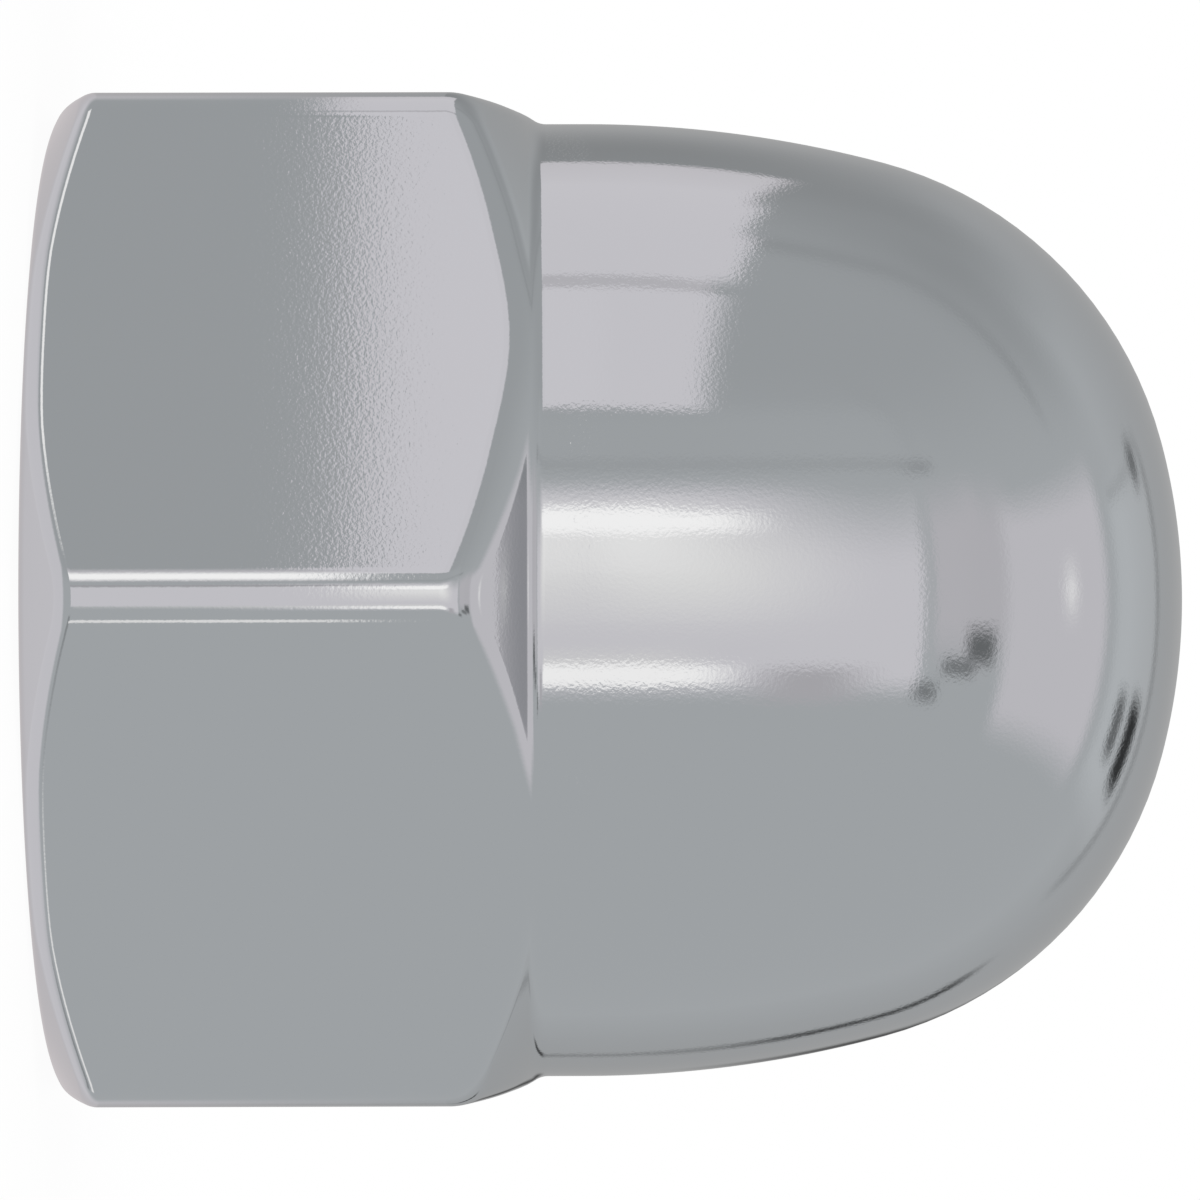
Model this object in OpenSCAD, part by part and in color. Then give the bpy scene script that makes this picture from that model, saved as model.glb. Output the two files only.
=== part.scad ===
// Domed cap nut for an M8 coarse bolt, in one piece: a hexagon chamfered at both
// ends, a short neck and a closed dome over a blind threaded hole.
// Millimetres. The bearing face lies on z = 0 with its centre at the origin, the
// nut's axis is +Z, and two of the hexagon's flats face +X and -X.

/* [Hexagon] */
// Width across the flats
across_flats = 13; // [12.9:0.05:14.5]
// Radius that softens the six upright edges
edge_round = 0.76; // [0.2:0.02:1.4]
// Height where the upper chamfer meets the middle of a flat
flat_top = 6.24; // [5.4:0.02:6.5]
// Slope of the upper chamfer, from the bearing plane
upper_chamfer_angle = 38; // [25:1:45]
// Radius of the hollow between the upper chamfer and the dome
neck_round = 0.5; // [0.2:0.05:0.6]

/* [Bearing side] */
// Diameter at which the lower chamfer would reach the bearing plane
bearing_dia = 12.66; // [11.6:0.02:12.8]
// Slope of the lower chamfer, from the bearing plane
lower_chamfer_angle = 30; // [15:1:40]
// Radius between the bearing face and the lower chamfer
rim_round = 0.8; // [0.2:0.05:1.5]

/* [Dome] */
// Height from the bearing face to the top of the dome
overall_height = 14.96; // [14.2:0.02:15.6]
// Largest diameter of the dome
dome_dia = 12.7; // [12.2:0.02:12.84]
// Height up to which the dome's wall is straight
straight_top = 7.02; // [6.9:0.02:7.6]
// Radius of the arc up the side of the dome
side_radius = 15.4; // [12:0.1:22]
// Radius of the arc around the shoulder of the dome
shoulder_radius = 5.2; // [4.4:0.05:5.8]
// Radius of the arc over the crown of the dome
crown_radius = 8.15; // [7:0.05:9.6]

/* [Threaded hole] */
// Nominal diameter of the thread
thread_dia = 8; // [6:0.5:9]
// Pitch of the thread
thread_pitch = 1.25; // [0.75:0.25:1.5]
// Depth of the hole, up to the start of the drill's point
hole_depth = 11; // [8:0.1:11.6]
// Full angle of the cone that the drill's point leaves
drill_point_angle = 118; // [90:1:140]
// Diameter of the countersink at the mouth of the hole
countersink_dia = 8.6; // [8.1:0.05:9.4]
// Full angle of the countersink
countersink_angle = 120; // [90:1:130]

/* [Hidden] */
$fn = 128;

// Arcs overlap what they run into by this much, so that outlines that touch
// without a corner cross at a point.
lap = 0.0001;
// How far a cutting or clipping shape runs past what it cuts
beyond = 5;

// The hexagon's corners point to +Y and -Y. Each is rounded about a centre.
flat_radius = across_flats / 2;
outer_radius = flat_radius / cos(30) + 1;
corner_angles = [for (k = [0 : 5]) 90 + 60 * k];
corner_centre_radius = (flat_radius - edge_round) / cos(30);

// An internal thread keeps 5/8 of the height of its sharp triangle, which is
// sqrt(3)/2 of the pitch, so its crests stand this far in from the full diameter.
minor_radius = thread_dia / 2 - 5 / 8 * sqrt(3) / 2 * thread_pitch;

// The rim's round stands a lap proud of the bearing plane, where the section is
// cut off, and of the lower chamfer.
lower_normal = [sin(lower_chamfer_angle), -cos(lower_chamfer_angle)];
rim_centre = meeting_point([0, -1], lap - rim_round,
    lower_normal, lower_normal * [bearing_dia / 2, 0] - rim_round + lap);

// Straight wall of the dome, and the hollow between it and the upper chamfer
dome_radius = dome_dia / 2;
wall_radius = dome_radius - lap;
upper_normal = [sin(upper_chamfer_angle), cos(upper_chamfer_angle)];
neck_height = flat_top + (flat_radius - wall_radius) * tan(upper_chamfer_angle);
neck_centre = meeting_point([1, 0], wall_radius + neck_round,
    upper_normal, upper_normal * [flat_radius, flat_top] + neck_round);

// The dome's three arcs run into one another. Two arcs touch where they share a
// normal, and its angle from the axis follows from the triangle of the centres.
side_centre = [dome_radius - side_radius, straight_top];
crown_centre = [0, overall_height - crown_radius];
side_to_shoulder = side_radius - shoulder_radius;
crown_to_shoulder = crown_radius - shoulder_radius;
side_to_crown = crown_centre - side_centre;
shoulder_span = acos((side_to_shoulder ^ 2 + crown_to_shoulder ^ 2 - norm(side_to_crown) ^ 2)
    / (2 * side_to_shoulder * crown_to_shoulder));
side_end_angle = atan2(side_to_crown.x, side_to_crown.y)
    - atan2(crown_to_shoulder * sin(shoulder_span),
            side_to_shoulder - crown_to_shoulder * cos(shoulder_span));
crown_end_angle = side_end_angle - shoulder_span;
shoulder_centre = side_centre + side_to_shoulder * from_axis(side_end_angle);

// Unit vector in the turned section, at an angle from the nut's axis
function from_axis(angle) = [sin(angle), cos(angle)];

// Point where two lines of the turned section meet, each given by its unit
// normal and its distance from the origin
function meeting_point(a, reach_a, b, reach_b) =
    [reach_a * b.y - reach_b * a.y, a.x * reach_b - b.x * reach_a] / (a.x * b.y - a.y * b.x);

// Point on the round of a corner, where the wall faces the given angle
function on_corner(corner, facing) =
    corner_centre_radius * [cos(corner), sin(corner)] + edge_round * [cos(facing), sin(facing)];

// Hexagon with rounded corners, seen along the axis
module hexagon_plan() {
    polygon([for (corner = corner_angles, side = [-30, 30]) on_corner(corner, corner + side)]);
    for (corner = corner_angles)
        translate(corner_centre_radius * [cos(corner), sin(corner)])
            circle(r = edge_round + lap);
}

// Hexagon's chamfers and the straight wall of the dome, as one outline. It cuts
// across the round of the rim, and under the arcs of the dome.
module core_section() {
    polygon([
        [-beyond, 0],
        [rim_centre.x, 0],
        rim_centre + (rim_round - lap) * lower_normal,
        [outer_radius, (outer_radius - bearing_dia / 2) * tan(lower_chamfer_angle)],
        [outer_radius, flat_top - (outer_radius - flat_radius) * tan(upper_chamfer_angle)],
        [wall_radius, neck_height],
        [wall_radius, straight_top],
        shoulder_centre,
        [-beyond, shoulder_centre.y],
    ]);
}

// Round between the bearing face and the lower chamfer
module rim_section() {
    translate(rim_centre)
        circle(r = rim_round);
}

// Arcs of the dome. The two large ones are cut off where the shoulder's arc
// takes over.
module dome_section() {
    translate(shoulder_centre)
        circle(r = shoulder_radius + lap);
    intersection() {
        translate(side_centre)
            circle(r = side_radius);
        polygon([
            [0, neck_height],
            [dome_radius + beyond, neck_height],
            side_centre + (side_radius + beyond) * from_axis(side_end_angle),
            shoulder_centre,
        ]);
    }
    intersection() {
        translate(crown_centre)
            circle(r = crown_radius);
        polygon([
            [-beyond, crown_centre.y],
            crown_centre,
            crown_centre + (crown_radius + beyond) * from_axis(crown_end_angle),
            [-beyond, overall_height + beyond],
        ]);
    }
}

// What the hollow at the neck leaves of a block set into its corner
module neck_block() {
    polygon([
        [wall_radius - neck_round, neck_height - neck_round],
        neck_centre - neck_round * upper_normal,
        neck_centre,
        neck_centre - [neck_round, 0],
    ]);
}

// Half of the nut's section as turned, without the hole
module turned_section() {
    intersection() {
        square([outer_radius + beyond, overall_height + beyond]);
        difference() {
            union() {
                core_section();
                rim_section();
                dome_section();
                neck_block();
            }
            translate(neck_centre)
                circle(r = neck_round + lap);
        }
    }
}

// Half of the section of the hole, with its countersink and the drill's point
module hole_section() {
    countersink_slope = tan(countersink_angle / 2);
    polygon([
        [0, -beyond],
        [countersink_dia / 2 + beyond * countersink_slope, -beyond],
        [minor_radius, (countersink_dia / 2 - minor_radius) / countersink_slope],
        [minor_radius, hole_depth],
        [0, hole_depth + minor_radius / tan(drill_point_angle / 2)],
    ]);
}

module cap_nut() {
    color("silver")
        difference() {
            intersection() {
                linear_extrude(overall_height + beyond)
                    hexagon_plan();
                rotate_extrude()
                    turned_section();
            }
            rotate_extrude()
                hole_section();
        }
}

cap_nut();
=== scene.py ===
import math

import bpy
from mathutils import Matrix, Vector


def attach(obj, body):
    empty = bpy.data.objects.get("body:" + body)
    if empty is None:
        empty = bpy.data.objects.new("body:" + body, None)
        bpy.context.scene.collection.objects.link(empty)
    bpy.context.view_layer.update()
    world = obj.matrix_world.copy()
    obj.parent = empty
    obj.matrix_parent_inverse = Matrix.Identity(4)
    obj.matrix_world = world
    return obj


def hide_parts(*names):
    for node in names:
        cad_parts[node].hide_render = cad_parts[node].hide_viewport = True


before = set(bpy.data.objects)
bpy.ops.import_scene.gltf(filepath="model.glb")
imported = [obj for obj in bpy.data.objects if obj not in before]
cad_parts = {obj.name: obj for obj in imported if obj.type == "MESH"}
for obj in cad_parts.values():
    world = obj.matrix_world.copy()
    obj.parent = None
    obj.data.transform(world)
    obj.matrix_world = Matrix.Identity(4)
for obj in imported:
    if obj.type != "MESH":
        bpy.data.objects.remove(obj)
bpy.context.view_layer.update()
print("frame loaded:", sorted(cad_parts))

mm = 0.001
scene = bpy.context.scene


def linearColour(hexText):
    # sRGB hex to the linear colour that a shader takes
    parts = [int(hexText[i:i + 2], 16) / 255 for i in (0, 2, 4)]
    return [p / 12.92 if p <= 0.04045 else ((p + 0.055) / 1.055) ** 2.4 for p in parts] + [1.0]


def addNode(tree, kind, inputs=(), items=0, **settings):
    # inputs are values, nodes or sockets: a list in socket order, or a dictionary by socket name
    node = tree.nodes.new(kind)
    for name, value in settings.items():
        setattr(node, name, value)
    for _ in range(items - 2):
        node.index_switch_items.new()
    for key, value in inputs.items() if isinstance(inputs, dict) else enumerate(inputs):
        if isinstance(value, bpy.types.Node):
            value = next(socket for socket in value.outputs if socket.enabled)
        if isinstance(value, bpy.types.NodeSocket):
            tree.links.new(value, node.inputs[key])
        else:
            node.inputs[key].default_value = value
    return node


def addSteps(tree, made, steps, kind="ShaderNodeMath"):
    # a step is a name, an operation and its inputs, which may be names of what was made before
    for name, operation, *inputs in steps:
        made[name] = addNode(tree, kind, [made.get(x, x) for x in inputs], operation=operation)


def newTree(name, inputs, outputs):
    # both say the kind of each named socket
    tree = bpy.data.node_groups.new(name, "GeometryNodeTree")
    for side, sockets in (("INPUT", inputs), ("OUTPUT", outputs)):
        for title, kind in sockets.items():
            tree.interface.new_socket(title, in_out=side, socket_type="NodeSocket" + kind)
    return tree, tree.nodes.new("NodeGroupInput").outputs, tree.nodes.new("NodeGroupOutput").inputs


# Camera: lies on its side, so the standing nut shows with its dome to the right as in the photograph
photoCamera = {
    "distance": 79.0163,   # mm from the nut's axis
    "aimHeight": 7.2095,   # mm above the bearing face
    "yaw": 0.31277,        # degrees towards the bearing side
    "roll": -0.12874,      # degrees
    "turn": 0.27609,       # degrees that the nut is turned on its axis
    "lens": 177.107,       # mm
    "sensor": 36,          # mm wide
}

nutAxis = Vector((0, 0, 1))
turn, yaw, roll = (math.radians(photoCamera[name]) for name in ("turn", "yaw", "roll"))
photoUp = Vector((-math.cos(turn), -math.sin(turn), 0))
photoFront = Vector((math.sin(turn), -math.cos(turn), 0))
photoMiddle = nutAxis * photoCamera["aimHeight"] * mm

alongNut = nutAxis * math.cos(yaw) + photoFront * math.sin(yaw)
cameraBack = photoFront * math.cos(yaw) - nutAxis * math.sin(yaw)
cameraRight = alongNut * math.cos(roll) + photoUp * math.sin(roll)
cameraUp = photoUp * math.cos(roll) - alongNut * math.sin(roll)
cameraPlace = photoMiddle + cameraBack * photoCamera["distance"] * mm

cameraData = bpy.data.cameras.new("photoCamera")
cameraData.lens = photoCamera["lens"]
cameraData.sensor_width = photoCamera["sensor"]
cameraData.clip_start = 0.001
camera = bpy.data.objects.new("photoCamera", cameraData)
camera.matrix_world = Matrix.LocRotScale(
    cameraPlace, Matrix((cameraRight, cameraUp, cameraBack)).transposed(), None)
scene.collection.objects.link(camera)
scene.camera = camera
print("camera placed")


# Bright plated steel: a grey mirror finish over cold-formed steel. The faint orange peel of
# the plating breaks up the edges of what it reflects, the lathe left fine rings on the
# bearing face, and the plating is thin and dull inside the threaded hole.
plating = {
    "colour": "a4a8ab",
    "edgeTint": "f3f3f3",    # holds back the white rim that a metal shows at a grazing angle
    "roughness": 0.035,
    "peelSize": 0.045,       # mm from bump to bump
    "peelHeight": 0.0004,    # mm on the flats
    "domePeel": 2.2,         # times as high on the dome
    "domePeelFrom": 6.2,     # mm above the bearing face, where the peel starts to rise
    "domePeelFull": 7.0,     # mm, where it is at its highest
    "ringPitch": 0.09,       # mm from one turning mark to the next
    "ringHeight": 0.0012,    # mm
    "ringTop": 0.03,         # mm above the bearing face, where the rings end
    "holeColour": "77797a",
    "holeRoughness": 0.32,
    "holeRadius": 4.2,       # mm, a little outside the thread
    "holeBlend": 0.1,        # mm, over which the plating turns dull
    "holeTop": 13.2,         # mm above the bearing face, in the wall over the drill's cone
}

platedSteel = bpy.data.materials.new("brightPlatedSteel")
platedSteel.use_nodes = True
steelTree = platedSteel.node_tree
steelTree.nodes.clear()
place = addNode(steelTree, "ShaderNodeTexCoord").outputs["Object"]
inMm = addNode(steelTree, "ShaderNodeMapping", {"Vector": place, "Scale": [1 / mm] * 3})
inPlan = addNode(steelTree, "ShaderNodeVectorMath", [inMm, (1, 1, 0)], operation="MULTIPLY")
surface = {
    "aboveFace": addNode(steelTree, "ShaderNodeSeparateXYZ", [inMm]).outputs["Z"],
    "fromAxis": addNode(steelTree, "ShaderNodeVectorMath", [inPlan],
                        operation="LENGTH").outputs["Value"],
    "noise": addNode(steelTree, "ShaderNodeTexNoise", {
        "Vector": inMm, "Scale": 1 / plating["peelSize"], "Detail": 2.0, "Roughness": 0.5}),
}
surface["peelShare"] = addNode(steelTree, "ShaderNodeMapRange", [
    surface["aboveFace"], plating["domePeelFrom"], plating["domePeelFull"], 1.0,
    plating["domePeel"]])
surface["inHole"] = addNode(steelTree, "ShaderNodeMapRange", [
    surface["fromAxis"], plating["holeRadius"] + plating["holeBlend"], plating["holeRadius"],
    0.0, 1.0])
addSteps(steelTree, surface, (
    ("peel", "MULTIPLY", "noise", "peelShare"),
    ("ringTurn", "MULTIPLY", "fromAxis", 2 * math.pi / plating["ringPitch"]),
    ("rings", "SINE", "ringTurn"),
    ("onFace", "LESS_THAN", "aboveFace", plating["ringTop"]),
    ("rings", "MULTIPLY", "rings", "onFace"),
    ("belowTop", "LESS_THAN", "aboveFace", plating["holeTop"]),
    ("dull", "MULTIPLY", "inHole", "belowTop")))

bump = None
for height, distance in (("peel", plating["peelHeight"]), ("rings", plating["ringHeight"])):
    inputs = {"Height": surface[height], "Distance": distance * mm, "Strength": 1.0}
    if bump:
        inputs["Normal"] = bump
    bump = addNode(steelTree, "ShaderNodeBump", inputs)
colour = addNode(steelTree, "ShaderNodeMix", {
    "Factor": surface["dull"], 6: linearColour(plating["colour"]),
    7: linearColour(plating["holeColour"])}, data_type="RGBA")
roughness = addNode(steelTree, "ShaderNodeMix", {
    "Factor": surface["dull"], 2: plating["roughness"], 3: plating["holeRoughness"]},
    data_type="FLOAT")
steel = addNode(steelTree, "ShaderNodeBsdfPrincipled", {
    "Base Color": colour, "Metallic": 1.0, "Specular Tint": linearColour(plating["edgeTint"]),
    "Roughness": roughness, "Normal": bump})
addNode(steelTree, "ShaderNodeOutputMaterial", {"Surface": steel})
print("material made:", platedSteel.name)


# Cap nut: sizes in millimetres and degrees, as in the construction, apart from the neck, which
# is 0.5 there. The construction leaves the two arris rounds and the thread's grooves out.
nutSizes = {
    "acrossFlats": 13.0,
    "edgeRound": 0.76,
    "flatTop": 6.24,
    "upperChamfer": 38,
    "upperArrisRound": 0.7,
    "neckRound": 0.3,
    "bearingDiameter": 12.66,
    "lowerChamfer": 30,
    "lowerArrisRound": 0.3,
    "rimRound": 0.8,
    "overallHeight": 14.96,
    "domeDiameter": 12.7,
    "straightTop": 7.02,
    "sideRadius": 15.4,
    "shoulderRadius": 5.2,
    "crownRadius": 8.15,
    "threadDiameter": 8.0,
    "threadPitch": 1.25,
    "rootFlat": 1 / 8,      # width of the groove's bottom, in pitches
    "crestFlat": 1 / 4,     # width of the ridge's top, in pitches
    "threadEnd": 8.6,       # height of the last full groove
    "tapTaper": 12,         # degrees, of the grooves that run out above it
    "holeDepth": 11.0,
    "drillPoint": 118,
    "countersinkDiameter": 8.6,
    "countersink": 120,
}

nutDetail = {
    "edgeSteps": 14,        # round each upright edge
    "flatSteps": 22,        # cuts in each side of the plan
    "arcSteps": 20,         # rows on each arc of the section
    "rowsPerTurn": 16,      # rows to one pitch of the thread
    "coneRows": 6,          # rows on the drill's cone
    "sharpAngle": 28,       # degrees, over which an edge stays sharp
    "mergeDistance": 1e-7,  # m
}


def fromAxis(angle):
    return Vector((math.sin(angle), math.cos(angle), 0))


def nutInputs(s, detail):
    # Centres and ends of the arcs, worked out in closed form; x is the radius and y the height
    flatRadius = s["acrossFlats"] / 2
    domeRadius = s["domeDiameter"] / 2
    lower, upper = math.radians(s["lowerChamfer"]), math.radians(s["upperChamfer"])
    neckX = domeRadius + s["neckRound"]
    neckZ = s["flatTop"] + (flatRadius - neckX) * math.tan(upper) + s["neckRound"] / math.cos(upper)
    rimX = s["bearingDiameter"] / 2 - s["rimRound"] * math.tan(lower / 2)

    # Two arcs touch where they share a normal, so the triangle of their centres gives its angle
    sideCentre = Vector((domeRadius - s["sideRadius"], s["straightTop"], 0))
    crownCentre = Vector((0, s["overallHeight"] - s["crownRadius"], 0))
    a = s["sideRadius"] - s["shoulderRadius"]
    b = s["crownRadius"] - s["shoulderRadius"]
    across = crownCentre - sideCentre
    span = math.acos((a * a + b * b - across.length_squared) / (2 * a * b))
    sideEnd = (math.atan2(across.x, across.y)
               - math.atan2(b * math.sin(span), a - b * math.cos(span)))
    shoulderCentre = sideCentre + a * fromAxis(sideEnd)

    # The ridges of a metric thread are five eighths of a full triangle high
    crest = s["threadDiameter"] / 2 - 5 / 8 * math.sqrt(3) / 2 * s["threadPitch"]
    turnsOfRows = math.ceil(s["holeDepth"] / s["threadPitch"]) + 1
    quarter = math.pi / 2
    return {
        "Flat radius": flatRadius * mm,
        "Edge round": s["edgeRound"] * mm,
        "Edge steps": detail["edgeSteps"],
        "Flat steps": detail["flatSteps"],
        "Arc steps": detail["arcSteps"],
        "Rim x": rimX * mm,
        "Rim round": s["rimRound"] * mm,
        "Lower arris round": s["lowerArrisRound"] * mm,
        "Lower chamfer": lower,
        "Upper arris round": s["upperArrisRound"] * mm,
        "Upper chamfer": upper,
        "Neck x": neckX * mm,
        "Neck z": neckZ * mm,
        "Neck round": s["neckRound"] * mm,
        "Side x": sideCentre.x * mm,
        "Side z": sideCentre.y * mm,
        "Side radius": s["sideRadius"] * mm,
        "Side end": quarter - sideEnd,
        "Shoulder x": shoulderCentre.x * mm,
        "Shoulder z": shoulderCentre.y * mm,
        "Shoulder radius": s["shoulderRadius"] * mm,
        "Shoulder end": quarter - (sideEnd - span),
        "Crown z": crownCentre.y * mm,
        "Crown radius": s["crownRadius"] * mm,
        "Mouth radius": s["countersinkDiameter"] / 2 * mm,
        "Countersink slope": 1 / math.tan(math.radians(s["countersink"]) / 2),
        "Crest radius": crest * mm,
        "Root radius": s["threadDiameter"] / 2 * mm,
        "Pitch": s["threadPitch"] * mm,
        "Root half": s["rootFlat"] / 2,
        "Crest start": (1 - s["crestFlat"]) / 2,
        "Rows per turn": detail["rowsPerTurn"],
        "Thread rows": detail["rowsPerTurn"] * turnsOfRows,
        "Cone rows": detail["coneRows"],
        "Thread end": s["threadEnd"] * mm,
        "Tap taper": math.tan(math.radians(s["tapTaper"])),
        "Hole depth": s["holeDepth"] * mm,
        "Tip height": crest / math.tan(math.radians(s["drillPoint"]) / 2) * mm,
    }


# A small round between the upright wall and a chamfer, which runs into the arc at the
# chamfer's other end where the chamfer is too short to have a straight part
arrisTree, arrisIn, arrisOut = newTree(
    "arrisRound",
    {name: "Float" for name in ("Wall radius", "Round", "Arc x", "Arc z", "Gap", "Chamfer", "Side")},
    {name: "Float" for name in ("Centre x", "Centre z", "Turn")})
arris = {socket.name: socket for socket in arrisIn if socket.name}
addSteps(arrisTree, arris, (
    ("slopeSine", "SINE", "Chamfer"),
    ("slopeCosine", "COSINE", "Chamfer"),
    ("centreX", "SUBTRACT", "Wall radius", "Round"),
    ("reach", "SUBTRACT", "centreX", "Arc x"),
    ("gapAcross", "MULTIPLY", "Gap", "slopeSine"),
    ("spare", "SUBTRACT", "reach", "gapAcross"),
    ("spareAlong", "DIVIDE", "spare", "slopeCosine"),
    ("straight", "MAXIMUM", "spareAlong", 0.0),
    ("straightX", "MULTIPLY", "straight", "slopeCosine"),
    ("straightZ", "MULTIPLY", "straight", "slopeSine"),
    ("gapX", "SUBTRACT", "reach", "straightX"),
    ("turnCosine", "DIVIDE", "gapX", "Gap"),
    ("turn", "ARCCOSINE", "turnCosine"),
    ("turnSine", "SINE", "turn"),
    ("gapZ", "MULTIPLY", "Gap", "turnSine"),
    ("rise", "SUBTRACT", "gapZ", "straightZ"),
    ("centreZ", "MULTIPLY_ADD", "rise", "Side", "Arc z")))
for title, name in (("Centre x", "centreX"), ("Centre z", "centreZ"), ("Turn", "turn")):
    arrisTree.links.new(arris[name].outputs[0], arrisOut[title])

sizes = nutInputs(nutSizes, nutDetail)
nutTree, nutIn, nutOut = newTree(
    "capNutShape", {name: {int: "Int", float: "Float"}[type(value)] for name, value in sizes.items()},
    {"Mesh": "Geometry"})
shared = {socket.name: socket for socket in nutIn if socket.name}
shared["index"] = addNode(nutTree, "GeometryNodeInputIndex")
wholeNumbers = "FunctionNodeIntegerMath"

# Plan: a hexagon with rounded corners on +Y and -Y, its sides cut into short steps
addSteps(nutTree, shared, [("corner", "DIVIDE", "Flat radius", math.cos(math.pi / 6))])
hexagon = addNode(nutTree, "GeometryNodeCurvePrimitiveCircle",
                  {"Resolution": 6, "Radius": shared["corner"]})
hexagon = addNode(nutTree, "GeometryNodeTransform",
                  {"Geometry": hexagon, "Rotation": (0, 0, math.pi / 6)})
hexagon = addNode(nutTree, "GeometryNodeFilletCurve",
                  {"Curve": hexagon, "Count": shared["Edge steps"], "Radius": shared["Edge round"]},
                  mode="POLY")
addSteps(nutTree, shared, (
    ("perCorner", "ADD", "Edge steps", 1),
    ("withinCorner", "MODULO", "index", "perCorner")), wholeNumbers)
addSteps(nutTree, shared, (
    ("onSide", "COMPARE", "withinCorner", "Edge steps"),
    ("cuts", "MULTIPLY", "onSide", "Flat steps")))
plan = addNode(nutTree, "GeometryNodeSubdivideCurve", {"Curve": hexagon, "Cuts": shared["cuts"]})
shared["columns"] = addNode(nutTree, "GeometryNodeAttributeDomainSize", {"Geometry": plan},
                            component="CURVE").outputs["Point Count"]
position = addNode(nutTree, "GeometryNodeInputPosition")

# Section: the arcs of the outside, from the hole's mouth, which is one point, up to the crown,
# each with its centre's radius and height, its own radius, and its first and last angle
sectionArcs = (
    ("Mouth radius", 0.0, 0.0, 0.0, 0.0),
    ("Rim x", "Rim round", "Rim round", -math.pi / 2, "lowerStart"),
    ("Lower Centre x", "Lower Centre z", "Lower arris round", "lowerStart", 0.0),
    ("Upper Centre x", "Upper Centre z", "Upper arris round", 0.0, "Upper Turn"),
    ("Neck x", "Neck z", "neckBend", "Upper Turn", 0.0),
    ("Side x", "Side z", "Side radius", 0.0, "Side end"),
    ("Shoulder x", "Shoulder z", "Shoulder radius", "Side end", "Shoulder end"),
    (0.0, "Crown z", "Crown radius", "Shoulder end", math.pi / 2))

addSteps(nutTree, shared, (
    ("skinRows", "MULTIPLY_ADD", "Arc steps", len(sectionArcs) - 1, 1),
    ("lastRow", "ADD", "Thread rows", "Cone rows"),
    ("boreRows", "ADD", "lastRow", 1),
    ("gridColumns", "ADD", "columns", 1)), wholeNumbers)


def placeOnPlan(number):
    return addNode(nutTree, "GeometryNodeSampleIndex",
                   {"Geometry": plan, "Value": position, "Index": number},
                   data_type="FLOAT_VECTOR", domain="POINT")


def addSkin(made):
    wall = addNode(nutTree, "ShaderNodeVectorMath", [made["planPlace"]], operation="LENGTH")
    for end, arcX, arcZ, arcRound, operation, side in (
            ("Lower", "Rim x", "Rim round", "Rim round", "SUBTRACT", -1.0),
            ("Upper", "Neck x", "Neck z", "Neck round", "ADD", 1.0)):
        # gap: from the centre of the arc to that of the arris, along their shared normal
        gap = addNode(nutTree, "ShaderNodeMath", [made[arcRound], made[end + " arris round"]],
                      operation=operation)
        gap = addNode(nutTree, "ShaderNodeMath", [gap, -side], operation="MULTIPLY")
        arrisNode = addNode(nutTree, "GeometryNodeGroup", node_tree=arrisTree)
        for title, value in (
                ("Wall radius", wall.outputs["Value"]), ("Round", made[end + " arris round"]),
                ("Arc x", made[arcX]), ("Arc z", made[arcZ]), ("Gap", gap.outputs[0]),
                ("Chamfer", made[end + " chamfer"])):
            nutTree.links.new(value, arrisNode.inputs[title])
        arrisNode.inputs["Side"].default_value = side
        made.update({end + " " + socket.name: socket for socket in arrisNode.outputs})
    addSteps(nutTree, made, (
        ("lowerStart", "MULTIPLY", "Lower Turn", -1.0),
        ("neckBend", "MULTIPLY", "Neck round", -1.0)))
    addSteps(nutTree, made, (
        ("arcRow", "SUBTRACT", "row", 1),
        ("arc", "DIVIDE_FLOOR", "arcRow", "Arc steps"),
        ("arc", "ADD", "arc", 1),
        ("arcStep", "MODULO", "arcRow", "Arc steps"),
        ("lastStep", "SUBTRACT", "Arc steps", 1)), wholeNumbers)
    for name, choices in zip(("arcX", "arcZ", "arcRadius", "firstAngle", "lastAngle"),
                             zip(*sectionArcs)):
        made[name] = addNode(nutTree, "GeometryNodeIndexSwitch",
                             [made["arc"], *(made.get(x, x) for x in choices)],
                             items=len(sectionArcs), data_type="FLOAT")
    made["angle"] = addNode(nutTree, "ShaderNodeMapRange", [
        made["arcStep"], 0.0, made["lastStep"], made["firstAngle"], made["lastAngle"]])
    addSteps(nutTree, made, (
        ("cosine", "COSINE", "angle"),
        ("sine", "SINE", "angle"),
        ("r", "MULTIPLY_ADD", "cosine", "arcRadius", "arcX"),
        ("z", "MULTIPLY_ADD", "sine", "arcRadius", "arcZ")))


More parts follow.
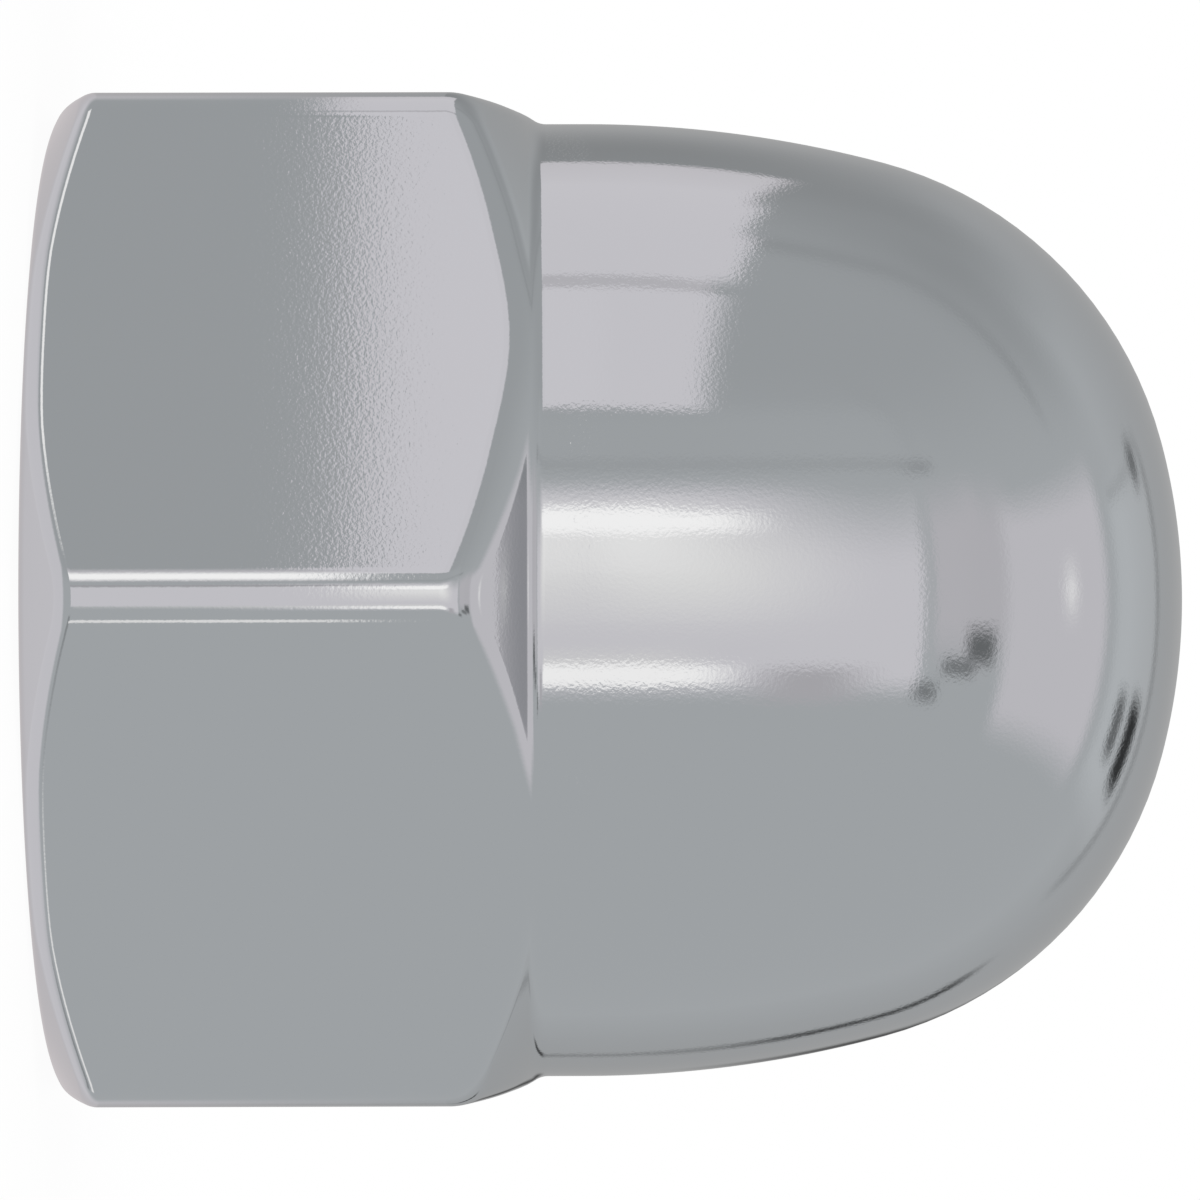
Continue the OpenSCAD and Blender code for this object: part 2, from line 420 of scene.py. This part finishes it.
def addBore(made):
    # Turns: how far round the column is, from 0 to 1, so that rows climb a pitch in one turn.
    # The slack keeps a column at the very start from being taken for a whole turn.
    turnSlack = 0.0001
    for name, point in (("here", made["planPlace"]), ("start", placeOnPlan(0))):
        parts = addNode(nutTree, "ShaderNodeSeparateXYZ", [point])
        made[name] = addNode(nutTree, "ShaderNodeMath", [parts.outputs["Y"], parts.outputs["X"]],
                             operation="ARCTAN2")
    addSteps(nutTree, made, [("lap", "DIVIDE_FLOOR", "column", "columns")], wholeNumbers)
    addSteps(nutTree, made, (
        ("round", "SUBTRACT", "here", "start"),
        ("round", "DIVIDE", "round", 2 * math.pi),
        ("round", "ADD", "round", turnSlack),
        ("round", "FRACT", "round"),
        ("round", "SUBTRACT", "round", turnSlack),
        ("turns", "ADD", "round", "lap"),
        ("climb", "DIVIDE", "row", "Rows per turn"),
        ("climb", "ADD", "climb", "turns"),
        ("climb", "SUBTRACT", "climb", 1.0),
        ("z", "MULTIPLY", "climb", "Pitch"),
        ("z", "MAXIMUM", "z", 0.0),
        ("z", "MINIMUM", "z", "Hole depth"),
        ("phase", "DIVIDE", "z", "Pitch"),
        ("phase", "SUBTRACT", "phase", "turns"),
        ("phase", "FRACT", "phase"),
        ("phase", "SUBTRACT", "phase", 0.5),
        ("fromRoot", "ABSOLUTE", "phase")))
    made["thread"] = addNode(nutTree, "ShaderNodeMapRange", [
        made[x] for x in ("fromRoot", "Root half", "Crest start", "Root radius", "Crest radius")])
    made["cone"] = addNode(nutTree, "ShaderNodeMapRange",
                           [made["row"], made["Thread rows"], made["lastRow"], 0.0, 1.0])
    addSteps(nutTree, made, (
        ("pastEnd", "SUBTRACT", "Thread end", "z"),
        ("tapered", "MULTIPLY_ADD", "pastEnd", "Tap taper", "Root radius"),
        ("r", "MINIMUM", "thread", "tapered"),
        ("r", "MAXIMUM", "r", "Crest radius"),
        ("sunk", "DIVIDE", "z", "Countersink slope"),
        ("sunk", "SUBTRACT", "Mouth radius", "sunk"),
        ("r", "MAXIMUM", "r", "sunk"),
        ("left", "SUBTRACT", 1.0, "cone"),
        ("r", "MULTIPLY", "r", "left"),
        ("z", "MULTIPLY_ADD", "cone", "Tip height", "z")))


# Two grids, each of columns round the plan by rows up the section: the skin and the bore
grids = {}
for part, rows, addPart in (("skin", "skinRows", addSkin), ("bore", "boreRows", addBore)):
    grid = addNode(nutTree, "GeometryNodeMeshGrid",
                   {"Vertices X": shared["gridColumns"], "Vertices Y": shared[rows]})
    made = dict(shared)
    addSteps(nutTree, made, (
        ("column", "DIVIDE_FLOOR", "index", rows),
        ("row", "MODULO", "index", rows),
        ("planPoint", "MODULO", "column", "columns")), wholeNumbers)
    made["planPlace"] = placeOnPlan(made["planPoint"])
    addPart(made)
    outward = addNode(nutTree, "ShaderNodeVectorMath", [made["planPlace"]], operation="NORMALIZE")
    across = addNode(nutTree, "ShaderNodeVectorMath", {0: outward, "Scale": made["r"]},
                     operation="SCALE")
    upward = addNode(nutTree, "ShaderNodeCombineXYZ", [0.0, 0.0, made["z"]])
    point = addNode(nutTree, "ShaderNodeVectorMath", [across, upward], operation="ADD")
    grids[part] = addNode(nutTree, "GeometryNodeSetPosition", {"Geometry": grid, "Position": point})

bore = addNode(nutTree, "GeometryNodeFlipFaces", {"Mesh": grids["bore"]})
nut = addNode(nutTree, "GeometryNodeJoinGeometry", [grids["skin"]])
nutTree.links.new(bore.outputs[0], nut.inputs[0])
nut = addNode(nutTree, "GeometryNodeMergeByDistance",
              {"Geometry": nut, "Distance": nutDetail["mergeDistance"]})
nut = addNode(nutTree, "GeometryNodeSetShadeSmooth", {"Geometry": nut, "Shade Smooth": True},
              domain="FACE")
edgeAngle = addNode(nutTree, "GeometryNodeInputMeshEdgeAngle")
sharp = addNode(nutTree, "ShaderNodeMath", [edgeAngle, math.radians(nutDetail["sharpAngle"])],
                operation="GREATER_THAN")
nut = addNode(nutTree, "GeometryNodeSetShadeSmooth",
              {"Geometry": nut, "Selection": sharp, "Shade Smooth": False}, domain="EDGE")
nut = addNode(nutTree, "GeometryNodeSetMaterial", {"Geometry": nut, "Material": platedSteel})
nutTree.links.new(nut.outputs[0], nutOut[0])

capNut = bpy.data.objects.new("platedCapNut", bpy.data.meshes.new("platedCapNut"))
scene.collection.objects.link(capNut)
shape = capNut.modifiers.new("shape", "NODES")
shape.node_group = nutTree
for item in nutTree.interface.items_tree:
    if item.in_out == "INPUT":
        shape[item.identifier] = sizes[item.name]
weighted = capNut.modifiers.new("weighted", "WEIGHTED_NORMAL")
weighted.keep_sharp = True
depsgraph = bpy.context.evaluated_depsgraph_get()
capNutMesh = bpy.data.meshes.new_from_object(
    capNut.evaluated_get(depsgraph), preserve_all_data_layers=True, depsgraph=depsgraph)
capNut.modifiers.clear()
capNut.data = capNutMesh
capNutMesh.name = "platedCapNut"
print("cap nut made:", len(capNutMesh.vertices), "points,", len(capNutMesh.polygons), "faces")

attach(capNut, "root")
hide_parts("cap_nut")


# Floor: white paper, clear from below, so that the bearing face shows there
floorLook = {
    "size": 3.0,         # m to each side
    "level": -0.00001,   # m, just clear of the bearing face
    "glow": 0.94,        # share of its white that comes of itself; the rest takes the shadow
}
white = "ffffff"

floorMesh = bpy.data.meshes.new("floor")
floorMesh.from_pydata(
    [(x * floorLook["size"], y * floorLook["size"], floorLook["level"])
     for x, y in ((-1, -1), (1, -1), (1, 1), (-1, 1))], [], [(0, 1, 2, 3)])
floor = bpy.data.objects.new("floor", floorMesh)
scene.collection.objects.link(floor)
floorPaint = bpy.data.materials.new("whiteFloor")
floorPaint.use_nodes = True
floorTree = floorPaint.node_tree
floorTree.nodes.clear()
paper = addNode(floorTree, "ShaderNodeBsdfDiffuse", {"Color": linearColour(white)})
glow = addNode(floorTree, "ShaderNodeEmission", {"Color": linearColour(white), "Strength": 1.0})
clear = addNode(floorTree, "ShaderNodeBsdfTransparent")
seen = addNode(floorTree, "ShaderNodeLightPath").outputs["Is Camera Ray"]
underside = addNode(floorTree, "ShaderNodeNewGeometry").outputs["Backfacing"]
glowShare = addNode(floorTree, "ShaderNodeMath", [seen, floorLook["glow"]], operation="MULTIPLY")
topSide = addNode(floorTree, "ShaderNodeMixShader", [glowShare, paper, glow])
bothSides = addNode(floorTree, "ShaderNodeMixShader", [underside, topSide, clear])
addNode(floorTree, "ShaderNodeOutputMaterial", {"Surface": bothSides})
floorMesh.materials.append(floorPaint)
floor.visible_glossy = False
floor.visible_shadow = False
print("floor made")


# Studio: an even pale room with softboxes and a few dark gaps, which only reflections see.
# Each layer lies over those before it. "room" gives degrees round from the camera's side towards
# the dome and degrees up; "over" gives degrees from the camera's side up over the nut and degrees
# towards the dome. Level 1 is white.
studioRoom = {
    "level": 0.91,
    "backLevel": 0.40,  # share of its light that the wall behind the nut gives at its middle
    "backReach": 0.55,  # how far round that wall stays darker; 1 is half of the room
}
mauve, warm = "fff8fa", "fff9f5"
studioLayers = [
    # coordinates, centre, half size, softness, level, tint
    # ceiling, lower at the back, and the wall on the bearing side
    ("room", (90, 90), (400, 52), (1, 20), 0.80, white),
    ("room", (160, 50), (55, 18), (25, 12), 0.66, white),
    ("room", (-115, 0), (60, 56), (6, 10), 1.36, mauve),
    # strip lamps that draw the bright lines along the rim, with dark strips beside them
    ("over", (76, -17), (16, 4.5), (2.5, 1.5), 2.1, warm),
    ("over", (76, -26), (16, 2.5), (4, 2), 0.80, white),
    ("over", (-80, -15), (17, 3), (3, 1.5), 1.9, warm),
    ("over", (-85, -26), (14, 3), (4, 1.5), 0.60, white),
    ("over", (-45, -19), (14, 4), (4, 2), 0.60, white),
    # frames round the softboxes
    ("over", (99, 30), (2.0, 27), (3.5, 8), 0.68, white),
    ("room", (41, 45), (1.5, 18), (3, 6), 0.80, white),
    ("room", (17, 38), (24, 6.5), (4, 4), 0.87, white),
    # large softbox in front, brightest at its middle and near its upper and lower edges
    ("room", (18, 2.5), (20.8, 23.5), (1.6, 3.5), 1.40, mauve),
    ("room", (24, -20), (5, 4), (4, 2), 0.98, mauve),
    ("room", (33, 27), (11, 9), (10, 12), 0.90, white),
    ("room", (9, 7), (12, 10), (11, 9), 1.76, warm),
    ("room", (5, 14), (7, 7), (7, 6), 1.95, warm),
    ("room", (3, -15), (8, 2), (5, 4), 1.60, warm),
    ("room", (3.5, 18.6), (5.0, 3.0), (1.2, 1.4), 2.3, warm),
    ("room", (10, 18.2), (7, 2.4), (5, 1.6), 2.3, warm),
    ("room", (3.0, -17.6), (4.5, 2.6), (1.2, 1.2), 2.2, warm),
    ("room", (8.5, -17.6), (6, 2.4), (4, 1.2), 2.2, warm),
    ("room", (17, 31.8), (24, 1.0), (3, 1.8), 0.79, white),
    # pale wall from there to the dome's side, with a thin frame
    ("room", (49, 5), (9, 17), (3, 8), 1.12, mauve),
    ("room", (41, 6), (0.7, 26), (1.8, 5), 0.94, white),
    ("room", (60, 5), (8, 16), (5, 8), 1.10, mauve),
    ("room", (42.5, 30.6), (3.5, 1), (3, 2.2), 0.64, white),
    # softbox on the dome's side, with its lamp, and the frames and wall behind it
    ("room", (85, -4), (20, 22), (3, 5), 1.27, mauve),
    ("room", (89, 1.5), (1.5, 2.5), (4, 5.5), 2.1, warm),
    ("room", (142, 4), (26, 34), (10, 15), 0.93, white),
    ("room", (124, -6), (14, 19), (3, 4), 1.06, white),
    ("room", (124, 13.5), (13, 0.5), (1, 1.5), 0.80, white),
    ("room", (137, -9), (1.5, 22), (2, 3), 0.70, white),
    # two softboxes overhead, the farther one with a slanted end
    ("over", (88, 4.1), (42, 6.1), (1.5, 0.6), 1.14, mauve),
    ("over", (62.8, 3.34), (16.6, 5.36), (0.7, 0.1), 1.46, mauve),
    ("over", (62.8, 6.4), (16.6, 4.8), (0.7, 1.6), 1.43, mauve),
    ("over", (106.5, 3.8), (23.3, 5.9), (0.5, 0.4), 1.42, mauve),
    ("over", (104, 9.4), (10, 1.5), (3, 0.6), 1.42, mauve),
    ("over", (92, 9.9), (8.5, 2.0), (3, 0.6), 1.42, mauve),
    # lamps towards the bearing side, which light the hexagon's front edge
    ("over", (43, -9.5), (11, 8), (4, 0.8), 1.20, mauve),
    ("over", (41, -9.5), (6.7, 8), (4, 0.8), 2.3, warm),
    ("over", (-43, -9.5), (2.5, 8), (1.2, 0.8), 1.8, warm),
    ("over", (3, -9.5), (17.5, 8), (2, 0.8), 1.40, mauve),
    ("over", (23, -9.5), (1.5, 8), (1.5, 0.8), 0.85, mauve),
    # dark gaps
    ("room", (57, -10.3), (4.5, 3.5), (2.5, 2.5), 0.32, white),
    ("room", (50.5, -15), (5, 1.8), (2.5, 1.8), 0.42, white),
    ("room", (41.2, -21.2), (3, 2), (2.2, 2), 0.45, white),
    ("room", (119, -15), (2.5, 4), (2, 2), 0.30, white),
    ("room", (128.5, -15), (3.5, 5), (2, 2), 0.08, white),
    ("room", (130.8, 12.8), (2.5, 2), (2, 2), 0.38, white),
    ("over", (-142.5, 13), (1.5, 8), (1, 4), 0.15, white),
    ("over", (-142, 2), (1, 4), (1, 2), 0.60, white),
    ("over", (-168, 5), (5, 2), (3, 2), 0.20, white),
]

world = bpy.data.worlds.new("studio")
scene.world = world
world.use_nodes = True
worldTree = world.node_tree
worldTree.nodes.clear()
direction = addNode(worldTree, "ShaderNodeTexCoord").outputs["Generated"]
along = {}
for name, axis in (("front", photoFront), ("up", photoUp), ("right", nutAxis)):
    along[name] = addNode(worldTree, "ShaderNodeVectorMath", [direction, axis],
                          operation="DOT_PRODUCT").outputs["Value"]
coordinates = {}
for name, top, height in (("room", "right", "up"), ("over", "up", "right")):
    angles = []
    for operation, inputs in (("ARCTAN2", [along[top], along["front"]]),
                              ("ARCSINE", [along[height]])):
        angle = addNode(worldTree, "ShaderNodeMath", inputs, operation=operation)
        angles.append(addNode(worldTree, "ShaderNodeMath", [angle], operation="DEGREES"))
    coordinates[name] = addNode(worldTree, "ShaderNodeCombineXYZ", angles)

light = addNode(worldTree, "ShaderNodeRGB")
light.outputs[0].default_value = [studioRoom["level"]] * 3 + [1]
for where, centre, half, soft, level, tint in studioLayers:
    offset = addNode(worldTree, "ShaderNodeVectorMath", [coordinates[where], (*centre, 0)],
                     operation="SUBTRACT")
    offset = addNode(worldTree, "ShaderNodeVectorMath", [offset], operation="ABSOLUTE")
    outer = (half[0] + soft[0], half[1] + soft[1], 1)
    inner = (half[0] - soft[0], half[1] - soft[1], 0)
    edge = addNode(worldTree, "ShaderNodeMapRange", {6: offset, 7: outer, 8: inner},
                   data_type="FLOAT_VECTOR", interpolation_type="SMOOTHSTEP")
    parts = addNode(worldTree, "ShaderNodeSeparateXYZ", [edge])
    mask = addNode(worldTree, "ShaderNodeMath", [parts.outputs["X"], parts.outputs["Y"]],
                   operation="MULTIPLY")
    shade = [level * part for part in linearColour(tint)[:3]] + [1]
    light = addNode(worldTree, "ShaderNodeMix", {"Factor": mask, 6: light, 7: shade},
                    data_type="RGBA")

offBack = addNode(worldTree, "ShaderNodeMapRange",
                  [along["front"], -1.0, studioRoom["backReach"] - 1, 0.0, 1.0])
offBack = addNode(worldTree, "ShaderNodeMath", [offBack], operation="SQRT")
backShade = addNode(worldTree, "ShaderNodeMapRange",
                    [offBack, 0.0, 1.0, studioRoom["backLevel"], 1.0])
mirrored = addNode(worldTree, "ShaderNodeLightPath").outputs["Is Glossy Ray"]
plain = addNode(worldTree, "ShaderNodeBackground", {"Color": linearColour(white), "Strength": 1.0})
boxes = addNode(worldTree, "ShaderNodeBackground", {"Color": light, "Strength": backShade})
air = addNode(worldTree, "ShaderNodeMixShader", [mirrored, plain, boxes])
addNode(worldTree, "ShaderNodeOutputWorld", {"Surface": air})
world.cycles.sampling_method = "NONE"  # the light is even enough to be found by chance
scene.view_settings.view_transform = "Standard"
print("studio made:", len(studioLayers), "layers of light")
